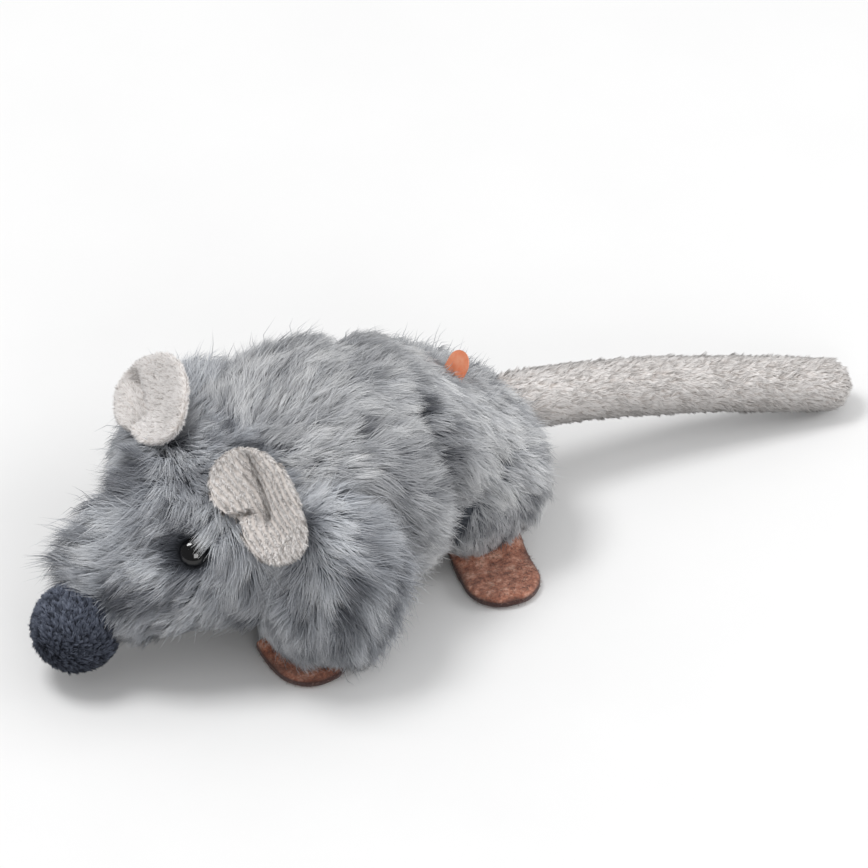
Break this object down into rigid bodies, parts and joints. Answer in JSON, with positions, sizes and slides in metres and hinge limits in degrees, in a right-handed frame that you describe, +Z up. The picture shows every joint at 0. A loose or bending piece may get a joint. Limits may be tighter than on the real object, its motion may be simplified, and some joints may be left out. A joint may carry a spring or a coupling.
{
  "type": "mouse cat toy",
  "caption": "Stuffed mouse for cats in grey long-pile fur, with felt feet, cupped ears, a stuffed tail and a sound module with a pull tab inside.",
  "frame": {"origin": "middle of the flat face that the belly rests on", "axes": "+X from the nose to the tail, +Z up, +Y to the mouse's right side"},
  "size_m": [0.1901, 0.0724, 0.0548],
  "materials": {
    "long_pile_fur": "long pile",
    "nose_plush": "short dense pile",
    "short_pile_plush": "short combed pile",
    "felt": "pressed felt",
    "eye_bead": "polished",
    "washer_plastic": "moulded",
    "stuffing": "loose fibre",
    "sachet_cloth": "plain weave",
    "tab_film": "clear tinted film",
    "case_plastic": "moulded",
    "board": "satin",
    "contact_brass": "stamped",
    "cell_steel": "bright",
    "ceramic": "silvered ceramic",
    "chip_resin": "cast resin"
  },
  "bodies": {
    "toy": {"body_cover": "long_pile_fur", "body_stuffing": "stuffing", "head_cover": "long_pile_fur", "head_stuffing": "stuffing", "nose_cover": "nose_plush", "nose_stuffing": "stuffing", "foreleg_left": "long_pile_fur", "foreleg_right": "long_pile_fur", "haunch_left": "long_pile_fur", "haunch_right": "long_pile_fur", "eye_left": "eye_bead", "eye_right": "eye_bead", "eye_washer_left": "washer_plastic", "eye_washer_right": "washer_plastic", "catnip_sachet": "sachet_cloth", "module_case": "case_plastic", "module_lid": "case_plastic", "cell_cradle": "case_plastic", "circuit_board": "board", "lid_contact": "contact_brass", "button_cell_1": "cell_steel", "button_cell_2": "cell_steel", "button_cell_3": "cell_steel", "lid_screw_1": "cell_steel", "lid_screw_2": "cell_steel", "lid_screw_3": "cell_steel", "piezo_disc": "contact_brass", "piezo_ceramic": "ceramic", "sound_chip": "chip_resin", "motion_switch": "cell_steel"},
    "tail": {"tail_cover": "short_pile_plush", "tail_stuffing": "stuffing"},
    "ear_left": {"ear_back_left": "short_pile_plush", "ear_lining_left": "short_pile_plush"},
    "ear_right": {"ear_back_right": "short_pile_plush", "ear_lining_right": "short_pile_plush"},
    "front_foot_left": {"front_foot_left": "felt"},
    "front_foot_right": {"front_foot_right": "felt"},
    "rear_foot_left": {"rear_foot_left": "felt"},
    "rear_foot_right": {"rear_foot_right": "felt"},
    "pull_tab": {"pull_tab": "tab_film"}
  },
  "joints": [
    {"name": "tail_swing", "type": "hinge", "parent": "toy", "child": "tail", "pos_m": [0.0395, 0, 0.0204], "axis": [0, 0, 1], "range_deg": [-32, 32], "stiffness_Nm_per_rad": 0.006},
    {"name": "ear_left_flop", "type": "hinge", "parent": "toy", "child": "ear_left", "pos_m": [-0.04353, -0.01484, 0.03769], "axis": [0.1521, 0.8348, 0.5291], "range_deg": [-40, 16], "stiffness_Nm_per_rad": 0.002},
    {"name": "ear_right_flop", "type": "hinge", "parent": "toy", "child": "ear_right", "pos_m": [-0.04353, 0.01484, 0.03769], "axis": [-0.1521, 0.8348, -0.5291], "range_deg": [-40, 16], "stiffness_Nm_per_rad": 0.002},
    {"name": "front_foot_left_bend", "type": "hinge", "parent": "toy", "child": "front_foot_left", "pos_m": [-0.029, -0.0165, 0.0012], "axis": [-1, 0, 0], "range_deg": [-40, 12], "stiffness_Nm_per_rad": 0.002},
    {"name": "front_foot_right_bend", "type": "hinge", "parent": "toy", "child": "front_foot_right", "pos_m": [-0.029, 0.0165, 0.0012], "axis": [1, 0, 0], "range_deg": [-40, 12], "stiffness_Nm_per_rad": 0.002},
    {"name": "rear_foot_left_bend", "type": "hinge", "parent": "toy", "child": "rear_foot_left", "pos_m": [0.0213, -0.0165, 0.0012], "axis": [-0.9703, 0.2419, 0], "range_deg": [-40, 12], "stiffness_Nm_per_rad": 0.002},
    {"name": "rear_foot_right_bend", "type": "hinge", "parent": "toy", "child": "rear_foot_right", "pos_m": [0.0213, 0.0165, 0.0012], "axis": [0.9703, 0.2419, 0], "range_deg": [-40, 12], "stiffness_Nm_per_rad": 0.002},
    {"name": "pull_tab_slide", "type": "slide", "parent": "toy", "child": "pull_tab", "axis": [0.5592, 0, 0.829], "range_m": [0, 0.022]}
  ]
}
